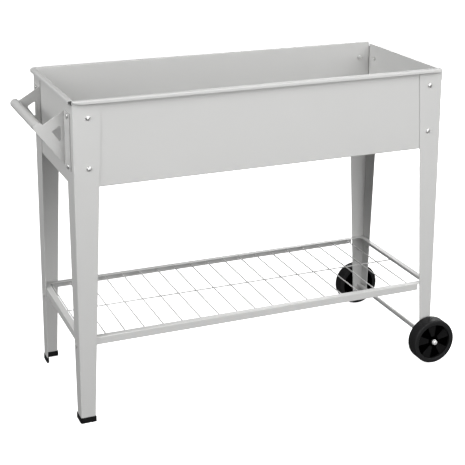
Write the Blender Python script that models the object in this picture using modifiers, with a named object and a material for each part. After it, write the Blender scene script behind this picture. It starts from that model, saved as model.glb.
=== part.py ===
"""Raised planter on four sheet-metal legs, with a wire shelf, a pull handle and two wheels.

Metres, +Z up.  The origin is on the ground, under the middle of the overall box.
X runs along the planter: the handle is at -X and the wheels are at +X.
"""
import math

import bmesh
import bpy
from mathutils import Matrix, Vector

# ---------------------------------------------------------------- driving sizes
BODY_LENGTH = 0.968       # over the outer faces of the legs, along X
BODY_WIDTH = 0.380        # over the outer faces of the legs, along Y
RIM_HEIGHT = 0.800        # top of the rim above the ground
PANEL_HEIGHT = 0.209      # rim top to the lower edge of the box

FIT = 0.0003              # clearance between pieces that touch
SHEET = 0.0015            # box panels, floor and shelf rails
LEG_SHEET = 0.002
BRACKET_SHEET = 0.0025
BEND = 0.0015             # bend radius at the middle of the sheet

HEM_REACH = 0.011         # panel outer face to the outer face of the folded rim
HEM_DROP = 0.009          # depth of the folded rim
HEM_BEND = 0.003          # softer bend along the outer edge of the rim
HEM_TAPER = 0.028         # length over which the front rim's lip grows from the left corner
HEM_START = 0.0025        # depth of that lip right at the corner
RIM_SHORT = 0.007         # end face of the right legs to the end of the front rim
CORNER_GAP = 0.0018       # open joint between the back panel and the right panel
FOLD_STEP = 0.005         # top of the right panel below the rim
FOLD_REACH = 0.0032       # panel outer face to the outer face of its closed fold
FOLD_DROP = 0.006         # depth of that fold
FLOOR_FLANGE = 0.015      # flange under the long panels that carries the floor

LEG_TOP_WIDTH = 0.0675    # width of each leg flange at the top
LEG_FOOT_WIDTH = 0.0353   # width of each flange at the bottom of a footed leg
LEG_WHEEL_WIDTH = 0.030   # width of each flange at the bottom of a wheeled leg
LEG_TOP_GAP = 0.003       # gap between the leg top and the folded rim
LEG_WHEEL_END = 0.038     # height of the lower end of a wheeled leg

FOOT_HEIGHT = 0.0145
FOOT_FLOOR = 0.003
FOOT_WALL = 0.0016
FOOT_FILLET = 0.0003      # radius in the inner corner of a foot

BOLT_DIAMETER = 0.006
BOLT_CLEARANCE = 0.0003   # radial, in every bolt hole
BOLT_HEAD_DIAMETER = 0.012
BOLT_HEAD_HEIGHT = 0.0034
BOLT_INSET = 0.036        # from the leg corner to the bolt line
BOLT_TOP = 0.0425         # rim top to the upper bolts
BOLT_PITCH = 0.120        # upper to lower bolts
BOLT_TAIL = 0.0015        # thread past the nut
NUT_ACROSS_FLATS = 0.010
NUT_HEIGHT = 0.005

SHELF_TOP = 0.2175        # top of the shelf frame above the ground
RAIL_FLANGE = 0.0155
RAIL_WEB = 0.019
RAIL_NOTCH = 0.043        # from the leg corner to the end of a rail web
TAB_WIDTH = 0.018
TAB_DROP = 0.033

WIRE_DIAMETER = 0.003
WIRE_PITCH = 0.0489
WIRE_MARGIN = 0.010       # least distance from an end rail to the first wire
WIRE_OFFSET = 0.003       # the mat sits slightly towards the wheels
WIRE_WELD = 0.0004        # depth by which crossing wires run together

WHEEL_DIAMETER = 0.120
WHEEL_WIDTH = 0.035
WHEEL_GAP = 0.004         # leg to wheel
WHEEL_FACE_DIAMETER = 0.095
WHEEL_RECESS = 0.008
WHEEL_HUB_DIAMETER = 0.024
WHEEL_CHAMFER = 0.003
PADDLE_COUNT = 5          # raised sectors in the recessed outer face
PADDLE_ANGLE = math.radians(34)
PADDLE_START = math.radians(44)
PADDLE_DEPTH = 0.0045
AXLE_DIAMETER = 0.012
AXLE_CLEARANCE = 0.0003
AXLE_INSET = 0.0095       # from the end face of the legs to the axle line
AXLE_TAIL = 0.004         # axle past the wheel
CAP_DIAMETER = 0.0145
CAP_CROWN = 0.0025

HANDLE_REACH = 0.063      # end face of the legs to the middle of the handle tube
HANDLE_DROP = 0.072       # rim top to the middle of the handle tube
HANDLE_DIAMETER = 0.022
HANDLE_WALL = 0.0015
BRACKET_INSET = 0.063     # from the leg corner to the outer face of a bracket plate
BRACKET_FLANGE_EDGE = 0.020
BRACKET_MARGIN = 0.008    # sheet above and below the bracket bolts
BRACKET_END_RADIUS = 0.0115
BRACKET_HOLE_MARGIN = 0.011
BRACKET_HOLE_TOP = 0.036
BRACKET_HOLE_HEIGHT = 0.044
BRACKET_HOLE_DEPTH = 0.0215
BRACKET_HOLE_RADIUS = 0.003

DRAIN_DIAMETER = 0.012
DRAIN_COLUMNS = 5
DRAIN_ROWS = 2

# ---------------------------------------------------------------- derived sizes
HALF_X = BODY_LENGTH / 2
HALF_Y = BODY_WIDTH / 2
BOX_BOTTOM = RIM_HEIGHT - PANEL_HEIGHT
PANEL_X = HALF_X - LEG_SHEET - FIT
PANEL_Y = HALF_Y - LEG_SHEET - FIT
HEM_BOTTOM = RIM_HEIGHT - HEM_DROP
LEG_TOP = HEM_BOTTOM - LEG_TOP_GAP
LEG_FOOT_END = FOOT_FLOOR + FIT
BOLT_UPPER = RIM_HEIGHT - BOLT_TOP
BOLT_LOWER = BOLT_UPPER - BOLT_PITCH
BOLT_BORE = BOLT_DIAMETER / 2 + BOLT_CLEARANCE
RAIL_X = HALF_X - LEG_SHEET - FIT
RAIL_Y = HALF_Y - LEG_SHEET - FIT
TAB_END = RAIL_Y - RAIL_FLANGE - FIT
SHELF_BOLT_Y = TAB_END - TAB_WIDTH / 2
SHELF_BOLT_HEIGHT = SHELF_TOP - TAB_DROP + TAB_WIDTH / 2
WIRE_COUNT = 1 + int(2 * (RAIL_X - SHEET - WIRE_MARGIN) / WIRE_PITCH)
AXLE_X = HALF_X - AXLE_INSET
AXLE_Z = WHEEL_DIAMETER / 2
WHEEL_Y = HALF_Y + WHEEL_GAP + WHEEL_WIDTH / 2
HANDLE_X = -HALF_X - HANDLE_REACH
HANDLE_HEIGHT = RIM_HEIGHT - HANDLE_DROP
BRACKET_Y = HALF_Y - BRACKET_INSET
BRACKET_TOP = BOLT_UPPER + BRACKET_MARGIN
BRACKET_BOTTOM = BOLT_LOWER - BRACKET_MARGIN

# The overall box is centred on the origin, so the body stands a little towards +X.
REACH_LEFT = HALF_X + HANDLE_REACH + BRACKET_END_RADIUS
REACH_RIGHT = AXLE_X + WHEEL_DIAMETER / 2
BODY_X = (REACH_LEFT - REACH_RIGHT) / 2

# Direction in which each side of the box faces, as a turn about Z.
FRONT = -math.pi / 2
RIGHT = 0.0
BACK = math.pi / 2
LEFT = math.pi


# ---------------------------------------------------------------- scene helpers
def clear_scene():
    for item in list(bpy.data.objects):
        bpy.data.objects.remove(item, do_unlink=True)


def make_collection(name):
    collection = bpy.data.collections.new(name)
    bpy.context.scene.collection.children.link(collection)
    return collection


def make_material(name, colour, metallic, roughness):
    material = bpy.data.materials.new(name)
    material.use_nodes = True
    shader = material.node_tree.nodes["Principled BSDF"]
    shader.inputs["Base Color"].default_value = (*colour, 1.0)
    shader.inputs["Metallic"].default_value = metallic
    shader.inputs["Roughness"].default_value = roughness
    return material


def painted_steel():
    return make_material("painted_steel", (0.56, 0.56, 0.56), 0.0, 0.45)


def zinc_steel():
    return make_material("zinc_steel", (0.72, 0.72, 0.70), 1.0, 0.3)


def black_plastic():
    return make_material("black_plastic", (0.012, 0.012, 0.013), 0.0, 0.5)


def place(name, mesh, material, location=(0, 0, 0), rotation=(0, 0, 0)):
    part = bpy.data.objects.new(name, mesh)
    part.location = location
    part.rotation_euler = rotation
    part.parent = BODY
    PARTS.objects.link(part)
    part.data.materials.clear()
    part.data.materials.append(material)
    return part


def place_cutter(name, mesh, location=(0, 0, 0), rotation=(0, 0, 0)):
    cutter = bpy.data.objects.new(name, mesh)
    cutter.location = location
    cutter.rotation_euler = rotation
    cutter.parent = BODY
    cutter.hide_render = True
    cutter.display_type = "WIRE"
    CUTTERS.objects.link(cutter)
    return cutter


def boolean(part, tool, operation="DIFFERENCE"):
    modifier = part.modifiers.new(tool.name, "BOOLEAN")
    modifier.object = tool
    modifier.operation = operation
    modifier.solver = "EXACT"


def smooth(part, angle=0.6):
    part.data.shade_smooth()
    part.data.set_sharp_from_angle(angle=angle)


# ---------------------------------------------------------------- mesh helpers
def mesh_from(bm, name):
    mesh = bpy.data.meshes.new(name)
    bm.to_mesh(mesh)
    bm.free()
    return mesh


def add_box(bm, low, high):
    size = Vector(high) - Vector(low)
    middle = (Vector(high) + Vector(low)) / 2
    matrix = Matrix.Translation(middle) @ Matrix.Diagonal((*size, 1.0))
    bmesh.ops.create_cube(bm, size=1.0, matrix=matrix)


def box_mesh(name, low, high):
    bm = bmesh.new()
    add_box(bm, low, high)
    return mesh_from(bm, name)


def add_rod(bm, start, end, radius, sides):
    start = Vector(start)
    end = Vector(end)
    along = end - start
    turn = along.to_track_quat("Z", "Y").to_matrix().to_4x4()
    half_side = Matrix.Rotation(math.pi / sides, 4, "Z")
    matrix = Matrix.Translation((start + end) / 2) @ turn @ half_side
    bmesh.ops.create_cone(bm, cap_ends=True, segments=sides, radius1=radius, radius2=radius,
                          depth=along.length, matrix=matrix)


def circle_points(radius, sides, middle=(0.0, 0.0), start=0.0):
    points = []
    for step in range(sides):
        angle = start + 2 * math.pi * step / sides
        points.append((middle[0] + radius * math.cos(angle), middle[1] + radius * math.sin(angle)))
    return points


def rounded_path(points, bends, steps=4):
    """The open path with an arc at each inner corner; bends holds one radius for each."""
    path = [Vector(points[0])]
    for before, corner, after, radius in zip(points, points[1:], points[2:], bends):
        corner = Vector(corner)
        to_before = (Vector(before) - corner).normalized()
        to_after = (Vector(after) - corner).normalized()
        half = to_before.angle(to_after) / 2
        inward = (to_before + to_after).normalized()
        middle = corner + inward * (radius / math.sin(half))
        first = corner + to_before * (radius / math.tan(half)) - middle
        last = corner + to_after * (radius / math.tan(half)) - middle
        turn = first.angle_signed(last)
        for step in range(steps + 1):
            arm = Matrix.Rotation(-turn * step / steps, 2) @ first
            path.append(middle + arm)
    path.append(Vector(points[-1]))
    return path


def sheet_outline(points, thickness, bends):
    """Closed outline of a folded sheet whose middle line follows the points."""
    path = rounded_path(points, bends)
    left = []
    right = []
    for index, point in enumerate(path):
        into = (point - path[index - 1]).normalized() if index > 0 else None
        out = (path[index + 1] - point).normalized() if index < len(path) - 1 else None
        into = into or out
        out = out or into
        side = (into + out).normalized()
        normal = Vector((-side.y, side.x))
        reach = thickness / 2 / max(0.2, side.dot(into))
        left.append(point + normal * reach)
        right.append(point - normal * reach)
    return [tuple(point) for point in left + right[::-1]]


def rounded_polygon(points, radius, steps=4):
    """Closed polygon with every corner rounded."""
    count = len(points)
    rounded = []
    for index in range(count):
        trio = [points[index - 1], points[index], points[(index + 1) % count]]
        rounded.extend(rounded_path(trio, [radius], steps)[1:-1])
    return [tuple(point) for point in rounded]


def outline_mesh(name, outlines, thickness):
    """Flat outline in XY, holes included, given a thickness centred on Z."""
    curve = bpy.data.curves.new(name, "CURVE")
    curve.dimensions = "2D"
    curve.fill_mode = "BOTH"
    curve.extrude = thickness / 2
    for outline in outlines:
        spline = curve.splines.new("POLY")
        spline.points.add(len(outline) - 1)
        for point, place_at in zip(spline.points, outline):
            point.co = (place_at[0], place_at[1], 0.0, 1.0)
        spline.use_cyclic_u = True
    guide = bpy.data.objects.new(name, curve)
    bpy.context.scene.collection.objects.link(guide)
    graph = bpy.context.evaluated_depsgraph_get()
    mesh = bpy.data.meshes.new_from_object(guide.evaluated_get(graph))
    bpy.data.objects.remove(guide, do_unlink=True)
    bpy.data.curves.remove(curve)
    bm = bmesh.new()
    bm.from_mesh(mesh)
    bmesh.ops.remove_doubles(bm, verts=bm.verts, dist=0.000001)
    bmesh.ops.recalc_face_normals(bm, faces=bm.faces)
    bm.to_mesh(mesh)
    bm.free()
    return mesh


def turned_mesh(name, profile):
    """Open profile in XZ, from the top of the axis down the outer side."""
    bm = bmesh.new()
    verts = [bm.verts.new((radius, 0.0, height)) for radius, height in profile]
    for first, second in zip(verts, verts[1:]):
        bm.edges.new((first, second))
    return mesh_from(bm, name)


def turn(part, steps):
    screw = part.modifiers.new("turn", "SCREW")
    screw.steps = steps
    screw.render_steps = steps
    screw.use_merge_vertices = True
    screw.merge_threshold = 0.00001
    screw.use_smooth_shade = True


# ---------------------------------------------------------------- bolt positions
def corner_signs():
    return [("front_left", -1, -1), ("front_right", 1, -1), ("back_right", 1, 1), ("back_left", -1, 1)]


def box_bolts():
    """Name, head position on the leg face and turn about Z of every box bolt."""
    bolts = []
    for corner, sx, sy in corner_signs():
        for level, height in (("upper", BOLT_UPPER), ("lower", BOLT_LOWER)):
            side_x = sx * (HALF_X - BOLT_INSET)
            side_y = sy * (HALF_Y - BOLT_INSET)
            side_turn = FRONT if sy < 0 else BACK
            end_turn = LEFT if sx < 0 else RIGHT
            extra = BRACKET_SHEET + FIT if sx < 0 else 0.0
            bolts.append((f"{corner}_side_{level}", (side_x, sy * HALF_Y, height), side_turn, 0.0))
            bolts.append((f"{corner}_end_{level}", (sx * HALF_X, side_y, height), end_turn, extra))
    return bolts


def shelf_bolts():
    bolts = []
    for corner, sx, sy in corner_signs():
        position = (sx * HALF_X, sy * SHELF_BOLT_Y, SHELF_BOLT_HEIGHT)
        bolts.append((corner, position, LEFT if sx < 0 else RIGHT))
    return bolts


def outward(angle):
    return Vector((math.cos(angle), math.sin(angle), 0.0))


def make_bolt_bores():
    """One cutter with a bore for every bolt, through leg, panel, bracket and rail."""
    bm = bmesh.new()
    reach = LEG_SHEET + SHEET + BRACKET_SHEET + 0.004
    spots = [(position, angle) for name, position, angle, extra in box_bolts()]
    spots += [(position, angle) for name, position, angle in shelf_bolts()]
    for position, angle in spots:
        way = outward(angle) * reach
        add_rod(bm, Vector(position) - way, Vector(position) + way, BOLT_BORE, 16)
    return place_cutter("bolt_bores", mesh_from(bm, "bolt_bores"))


# ---------------------------------------------------------------- box
def panel_profile(height, reach, drop, fold_bend, flanged=False):
    """Section of a panel: outward is +X, up is +Y, the outer face is X = 0."""
    half = SHEET / 2
    points = [(-half, 0.0)]
    bends = [BEND, fold_bend]
    if flanged:
        points = [(-FLOOR_FLANGE - SHEET, half), (-half, half)]
        bends = [BEND, BEND, fold_bend]
    points.append((-half, height - half))
    points.append((reach - half, height - half))
    points.append((reach - half, height - drop))
    return sheet_outline(points, SHEET, bends)


def make_long_panel(name, angle, steel, bores):
    """Front or back panel, with its rim running out to the end faces of the legs."""
    profile = panel_profile(PANEL_HEIGHT, HEM_REACH, HEM_DROP, HEM_BEND, flanged=True)
    side = -1 if angle == FRONT else 1
    panel = place(name, outline_mesh(name, [profile], 2 * HALF_X), steel,
                  (0.0, side * PANEL_Y, BOX_BOTTOM), (math.pi / 2, 0.0, angle))
    boolean(panel, make_web_trim(name, side))
    boolean(panel, make_flange_trim(name, side))
    boolean(panel, bores)
    return panel


def make_web_trim(name, side):
    """Cutter that ends the web at the corners and leaves the rim to run over the legs."""
    bm = bmesh.new()
    inner = side * (PANEL_Y - SHEET - FLOOR_FLANGE - 0.005)
    span = sorted((inner, side * (PANEL_Y + HEM_REACH + 0.005)))
    for sign in (-1, 1):
        ends = sorted((sign * (PANEL_X - FIT), sign * (HALF_X + 0.05)))
        low = (ends[0], span[0], BOX_BOTTOM - 0.005)
        add_box(bm, low, (ends[1], span[1], HEM_BOTTOM))
    return place_cutter(f"{name}_web_trim", mesh_from(bm, f"{name}_web_trim"))


def make_flange_trim(name, side):
    """Cutter that keeps the floor flange clear of the end panels."""
    bm = bmesh.new()
    span = sorted((side * (PANEL_Y - SHEET - FLOOR_FLANGE - 0.005), side * (PANEL_Y - SHEET)))
    for sign in (-1, 1):
        ends = sorted((sign * (PANEL_X - SHEET - FIT), sign * (HALF_X + 0.05)))
        low = (ends[0], span[0], BOX_BOTTOM - 0.005)
        add_box(bm, low, (ends[1], span[1], BOX_BOTTOM + 2 * SHEET))
    return place_cutter(f"{name}_flange_trim", mesh_from(bm, f"{name}_flange_trim"))


def make_lip_taper():
    """Cutter under the front rim that lets its lip grow gently from the left corner."""
    corners = [(HEM_TAPER, -0.02), (-0.02, -0.02), (-0.02, -HEM_START)]
    steps = 4
    for step in range(steps + 1):
        along = step / steps
        depth = HEM_START + (HEM_DROP + 0.0002 - HEM_START) * (1 - (1 - along) ** 2)
        corners.append((HEM_TAPER * along, -depth))
    width = HEM_REACH
    middle = -(PANEL_Y + 0.003 + width / 2)
    return place_cutter("lip_taper", outline_mesh("lip_taper", [corners], width),
                        (-HALF_X, middle, RIM_HEIGHT), (math.pi / 2, 0.0, 0.0))


def make_rim_cut():
    """Cutter that ends the front rim a little short of the right legs."""
    low = (HALF_X - RIM_SHORT, -PANEL_Y - HEM_REACH - 0.01, HEM_BOTTOM)
    high = (HALF_X + 0.05, -PANEL_Y + SHEET + 0.001, RIM_HEIGHT + 0.01)
    return place_cutter("rim_cut", box_mesh("rim_cut", low, high))


def make_corner_cut():
    """Cutter that ends the back panel short of the right panel."""
    low = (PANEL_X - SHEET - CORNER_GAP, PANEL_Y - SHEET - FLOOR_FLANGE - 0.01, BOX_BOTTOM - 0.01)
    high = (HALF_X + 0.05, PANEL_Y + HEM_REACH + 0.01, RIM_HEIGHT + 0.01)
    return place_cutter("corner_cut", box_mesh("corner_cut", low, high))


def make_end_panel(name, angle, profile, steel, bores):
    length = 2 * (PANEL_Y - SHEET - FIT)
    side = -1 if angle == LEFT else 1
    panel = place(name, outline_mesh(name, [profile], length), steel,
                  (side * PANEL_X, 0.0, BOX_BOTTOM), (math.pi / 2, 0.0, angle))
    boolean(panel, bores)


def make_box_panels(steel, bores):
    """The left panel has an open rim like the long ones; the right one ends in a closed fold."""
    front = make_long_panel("panel_front", FRONT, steel, bores)
    boolean(front, make_lip_taper())
    boolean(front, make_rim_cut())
    back = make_long_panel("panel_back", BACK, steel, bores)
    boolean(back, make_corner_cut())
    rim = panel_profile(PANEL_HEIGHT, HEM_REACH, HEM_DROP, HEM_BEND)
    make_end_panel("panel_left", LEFT, rim, steel, bores)
    fold = panel_profile(PANEL_HEIGHT - FOLD_STEP, FOLD_REACH, FOLD_DROP, BEND)
    make_end_panel("panel_right", RIGHT, fold, steel, bores)


def make_floor(steel):
    """Floor sheet with drain holes, lying on the flanges of the long panels."""
    half_x = PANEL_X - SHEET - 0.001
    half_y = PANEL_Y - SHEET - 0.001
    outlines = [[(-half_x, -half_y), (half_x, -half_y), (half_x, half_y), (-half_x, half_y)]]
    for column in range(DRAIN_COLUMNS):
        for row in range(DRAIN_ROWS):
            x = half_x * (2 * (column + 0.5) / DRAIN_COLUMNS - 1)
            y = half_y * (2 * (row + 0.5) / DRAIN_ROWS - 1)
            outlines.append(circle_points(DRAIN_DIAMETER / 2, 16, (x, y)))
    mesh = outline_mesh("box_floor", outlines, SHEET)
    return place("box_floor", mesh, steel, (0.0, 0.0, BOX_BOTTOM + SHEET + FIT + SHEET / 2))


# ---------------------------------------------------------------- legs and feet
def angle_outline(width, thickness, inset=0.0, bend=BEND):
    """L section with its outer corner at the origin and flanges along +X and +Y."""
    half = thickness / 2 - inset
    return sheet_outline([(width, half), (half, half), (half, width)], thickness, [bend])


def tapered_angle_mesh(name, bottom_width, top_width, low, high):
    """Angle section whose flanges widen evenly from the bottom to the top."""
    mesh = outline_mesh(name, [angle_outline(bottom_width, LEG_SHEET)], high - low)
    grow = top_width - bottom_width
    for vertex in mesh.vertices:
        if vertex.co.z > 0 and vertex.co.x > bottom_width / 2:
            vertex.co.x += grow
        elif vertex.co.z > 0 and vertex.co.y > bottom_width / 2:
            vertex.co.y += grow
        vertex.co.z += (low + high) / 2
    return mesh


def corner_turn(sx, sy):
    return math.atan2(-sy, -sx) - math.pi / 4


def make_legs(steel, bores, axle_bore):
    footed = tapered_angle_mesh("footed_leg", LEG_FOOT_WIDTH, LEG_TOP_WIDTH, LEG_FOOT_END, LEG_TOP)
    wheeled = tapered_angle_mesh("wheeled_leg", LEG_WHEEL_WIDTH, LEG_TOP_WIDTH, LEG_WHEEL_END, LEG_TOP)
    for corner, sx, sy in corner_signs():
        mesh = footed if sx < 0 else wheeled
        spot = (sx * HALF_X, sy * HALF_Y, 0.0)
        leg = place(f"leg_{corner}", mesh.copy(), steel, spot, (0.0, 0.0, corner_turn(sx, sy)))
        boolean(leg, bores)
        if sx > 0:
            boolean(leg, axle_bore)


def make_feet(plastic):
    """Plastic caps on the ends of the two footed legs."""
    wall = FOOT_WALL + FIT
    thickness = LEG_SHEET + 2 * wall
    outer = [angle_outline(LEG_FOOT_WIDTH + wall, thickness, wall, thickness / 2 + FOOT_FILLET)]
    grow = (LEG_TOP_WIDTH - LEG_FOOT_WIDTH) * FOOT_HEIGHT / (LEG_TOP - LEG_FOOT_END)
    slot = [angle_outline(LEG_FOOT_WIDTH + FIT + grow, LEG_SHEET + 2 * FIT, FIT)]
    for corner, sx, sy in corner_signs():
        if sx > 0:
            continue
        turn_z = (0.0, 0.0, corner_turn(sx, sy))
        spot = (sx * HALF_X, sy * HALF_Y, FOOT_HEIGHT / 2)
        foot = place(f"foot_{corner}", outline_mesh("foot", outer, FOOT_HEIGHT), plastic, spot, turn_z)
        slot_spot = (sx * HALF_X, sy * HALF_Y, FOOT_FLOOR + FOOT_HEIGHT / 2)
        cutter = place_cutter(f"foot_slot_{corner}", outline_mesh("foot_slot", slot, FOOT_HEIGHT),
                              slot_spot, turn_z)
        boolean(foot, cutter)


# ---------------------------------------------------------------- fasteners
def bolt_profile(grip):
    """Domed head above Z = 0, shank below."""
    head = BOLT_HEAD_DIAMETER / 2
    shank = BOLT_DIAMETER / 2
    profile = []
    for step in range(5):
        angle = math.pi / 2 * step / 4
        profile.append((head * math.sin(angle), FIT + 0.0008 + (BOLT_HEAD_HEIGHT - 0.0008) * math.cos(angle)))
    profile.append((head, FIT))
    profile.append((shank, FIT))
    profile.append((shank, -grip + 0.0006))
    profile.append((shank - 0.0006, -grip))
    profile.append((0.0, -grip))
    return profile


def axis_rotation(angle):
    """Turns local +Z into the outward direction of a side."""
    return (0.0, math.pi / 2, angle)


def make_fasteners(zinc, steel):
    nut_ring = [circle_points(NUT_ACROSS_FLATS / 2 / math.cos(math.pi / 6), 6),
                circle_points(BOLT_BORE, 12)]
    nut_mesh = outline_mesh("nut", nut_ring, NUT_HEIGHT)
    stack = LEG_SHEET + FIT + SHEET
    grip = stack + FIT + NUT_HEIGHT + BOLT_TAIL
    for name, position, angle, extra in box_bolts():
        head = Vector(position) + outward(angle) * extra
        mesh = turned_mesh("bolt", bolt_profile(grip + extra))
        bolt = place(f"bolt_{name}", mesh, zinc, head, axis_rotation(angle))
        turn(bolt, 16)
        seat = Vector(position) - outward(angle) * (stack + FIT + NUT_HEIGHT / 2)
        place(f"nut_{name}", nut_mesh.copy(), zinc, seat, axis_rotation(angle))
    shelf_grip = stack + 0.006
    for corner, position, angle in shelf_bolts():
        mesh = turned_mesh("shelf_bolt", bolt_profile(shelf_grip))
        bolt = place(f"shelf_bolt_{corner}", mesh, steel, position, axis_rotation(angle))
        turn(bolt, 16)


# ---------------------------------------------------------------- handle
def tangent_point(origin, middle, radius, side):
    """Point where a line from the origin touches a circle, on one side of it."""
    gap = Vector(middle) - Vector(origin)
    half = math.asin(radius / gap.length)
    run = math.sqrt(gap.length ** 2 - radius ** 2)
    way = Matrix.Rotation(side * half, 2) @ gap.normalized()
    return Vector(origin) + way * run


def bracket_outline():
    """Plate outline: X is the distance out from the leg face, Y is the height."""
    root = FIT
    tube = Vector((HANDLE_REACH, HANDLE_HEIGHT))
    top = Vector((root, BRACKET_TOP))
    bottom = Vector((root, BRACKET_BOTTOM))
    meet = tube + (top - tube).normalized() * BRACKET_END_RADIUS
    touch = tangent_point(bottom, tube, BRACKET_END_RADIUS, -1)
    start = math.atan2(meet.y - tube.y, meet.x - tube.x)
    end = math.atan2(touch.y - tube.y, touch.x - tube.x)
    points = [tuple(bottom)]
    steps = 14
    for step in range(steps + 1):
        angle = end + (start - end) * step / steps
        points.append((tube.x + BRACKET_END_RADIUS * math.cos(angle),
                       tube.y + BRACKET_END_RADIUS * math.sin(angle)))
    points.append(tuple(top))
    return points


def bracket_hole():
    top = BRACKET_TOP - BRACKET_HOLE_TOP
    root = BRACKET_HOLE_MARGIN
    slope = (BRACKET_TOP - HANDLE_HEIGHT) / HANDLE_REACH
    tip = (root + BRACKET_HOLE_DEPTH, top - slope * BRACKET_HOLE_DEPTH)
    corners = [(root, top), (root, top - BRACKET_HOLE_HEIGHT), tip]
    return rounded_polygon(corners, BRACKET_HOLE_RADIUS)


def make_brackets(steel, bores):
    for name, sy in (("front", -1), ("back", 1)):
        plate_y = sy * (BRACKET_Y - BRACKET_SHEET / 2)
        mesh = outline_mesh("bracket", [bracket_outline(), bracket_hole()], BRACKET_SHEET)
        bracket = place(f"handle_bracket_{name}", mesh, steel, (-HALF_X, plate_y, 0.0),
                        (math.pi / 2, 0.0, math.pi))
        edge = sy * (HALF_Y - BRACKET_FLANGE_EDGE)
        root = sy * (BRACKET_Y - BRACKET_SHEET)
        span = sorted((edge, root))
        low = (-HALF_X - FIT - BRACKET_SHEET, span[0], BRACKET_BOTTOM)
        high = (-HALF_X - FIT, span[1], BRACKET_TOP)
        flange = place_cutter(f"bracket_flange_{name}", box_mesh("bracket_flange", low, high))
        boolean(bracket, flange, "UNION")
        boolean(bracket, bores)


def make_handle_tube(steel):
    length = 2 * (BRACKET_Y - BRACKET_SHEET - FIT)
    rings = [circle_points(HANDLE_DIAMETER / 2, 32),
             circle_points(HANDLE_DIAMETER / 2 - HANDLE_WALL, 32)]
    tube = place("handle_tube", outline_mesh("handle_tube", rings, length), steel,
                 (HANDLE_X, 0.0, HANDLE_HEIGHT), (math.pi / 2, 0.0, 0.0))
    smooth(tube)


# ---------------------------------------------------------------- shelf
def rail_profile():
    """Angle section: outward is +X, the top of the flange is Y = 0."""
    half = SHEET / 2
    points = [(-RAIL_FLANGE, -half), (-half, -half), (-half, -RAIL_WEB)]
    return sheet_outline(points, SHEET, [BEND])


def make_long_rails(steel):
    """Front and back rails; the web stops short of the legs, the flange runs on."""
    length = 2 * (RAIL_X - 0.001)
    web_end = HALF_X - RAIL_NOTCH
    for name, side, angle in (("front", -1, FRONT), ("back", 1, BACK)):
        mesh = outline_mesh(f"rail_{name}", [rail_profile()], length)
        rail = place(f"shelf_rail_{name}", mesh, steel, (0.0, side * RAIL_Y, SHELF_TOP),
                     (math.pi / 2, 0.0, angle))
        bm = bmesh.new()
        span = sorted((side * (RAIL_Y - RAIL_FLANGE - 0.005), side * (RAIL_Y + 0.005)))
        for sign in (-1, 1):
            ends = sorted((sign * web_end, sign * (HALF_X + 0.02)))
            low = (ends[0], span[0], SHELF_TOP - RAIL_WEB - 0.005)
            high = (ends[1], span[1], SHELF_TOP - SHEET - BEND)
            add_box(bm, low, high)
        notch = place_cutter(f"rail_notch_{name}", mesh_from(bm, f"rail_notch_{name}"))
        boolean(rail, notch)


def make_end_rails(steel, bores):
    """Left and right rails between the long rails, with a bolted tab at each end."""
    length = 2 * TAB_END
    web_end = HALF_Y - RAIL_NOTCH
    for name, side, angle in (("left", -1, LEFT), ("right", 1, RIGHT)):
        mesh = outline_mesh(f"rail_{name}", [rail_profile()], length)
        rail = place(f"shelf_rail_{name}", mesh, steel, (side * RAIL_X, 0.0, SHELF_TOP),
                     (math.pi / 2, 0.0, angle))
        cut = bmesh.new()
        tab = bmesh.new()
        span = sorted((side * (RAIL_X - RAIL_FLANGE - 0.005), side * (RAIL_X + 0.005)))
        plate = sorted((side * (RAIL_X - SHEET), side * RAIL_X))
        for sign in (-1, 1):
            tab_root = TAB_END - TAB_WIDTH
            ends = sorted((sign * web_end, sign * tab_root))
            add_box(cut, (span[0], ends[0], SHELF_TOP - RAIL_WEB - 0.005),
                    (span[1], ends[1], SHELF_TOP - SHEET - BEND))
            ends = sorted((sign * tab_root, sign * TAB_END))
            add_box(tab, (plate[0], ends[0], SHELF_TOP - TAB_DROP),
                    (plate[1], ends[1], SHELF_TOP - SHEET - BEND))
        gap = place_cutter(f"rail_gap_{name}", mesh_from(cut, f"rail_gap_{name}"))
        tabs = place_cutter(f"rail_tabs_{name}", mesh_from(tab, f"rail_tabs_{name}"))
        boolean(rail, gap)
        boolean(rail, tabs, "UNION")
        boolean(rail, bores)


def make_wire_mat(steel):
    """Crosswise wires welded on one long wire, held under the flanges of the rails."""
    radius = WIRE_DIAMETER / 2
    height = SHELF_TOP - SHEET - FIT - radius
    reach_y = RAIL_Y - SHEET - 0.0005
    reach_x = RAIL_X - SHEET - 0.0005
    lower = height - WIRE_DIAMETER + WIRE_WELD
    bm = bmesh.new()
    add_rod(bm, (-reach_x, 0.0, lower), (reach_x, 0.0, lower), radius, 8)
    mat = place("shelf_wire_mat", mesh_from(bm, "shelf_wire_mat"), steel)
    bm = bmesh.new()
    for index in range(WIRE_COUNT):
        x = WIRE_OFFSET + (index - (WIRE_COUNT - 1) / 2) * WIRE_PITCH
        add_rod(bm, (x, -reach_y, height), (x, reach_y, height), radius, 8)
    wires = place_cutter("crosswise_wires", mesh_from(bm, "crosswise_wires"))
    boolean(mat, wires, "UNION")


# ---------------------------------------------------------------- wheels and axle
def make_axle_bore():
    bm = bmesh.new()
    reach = HALF_Y + 0.01
    radius = AXLE_DIAMETER / 2 + AXLE_CLEARANCE
    for sign in (-1, 1):
        add_rod(bm, (AXLE_X, sign * (reach - 0.03), AXLE_Z), (AXLE_X, sign * reach, AXLE_Z), radius, 24)
    return place_cutter("axle_bore", mesh_from(bm, "axle_bore"))


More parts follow.
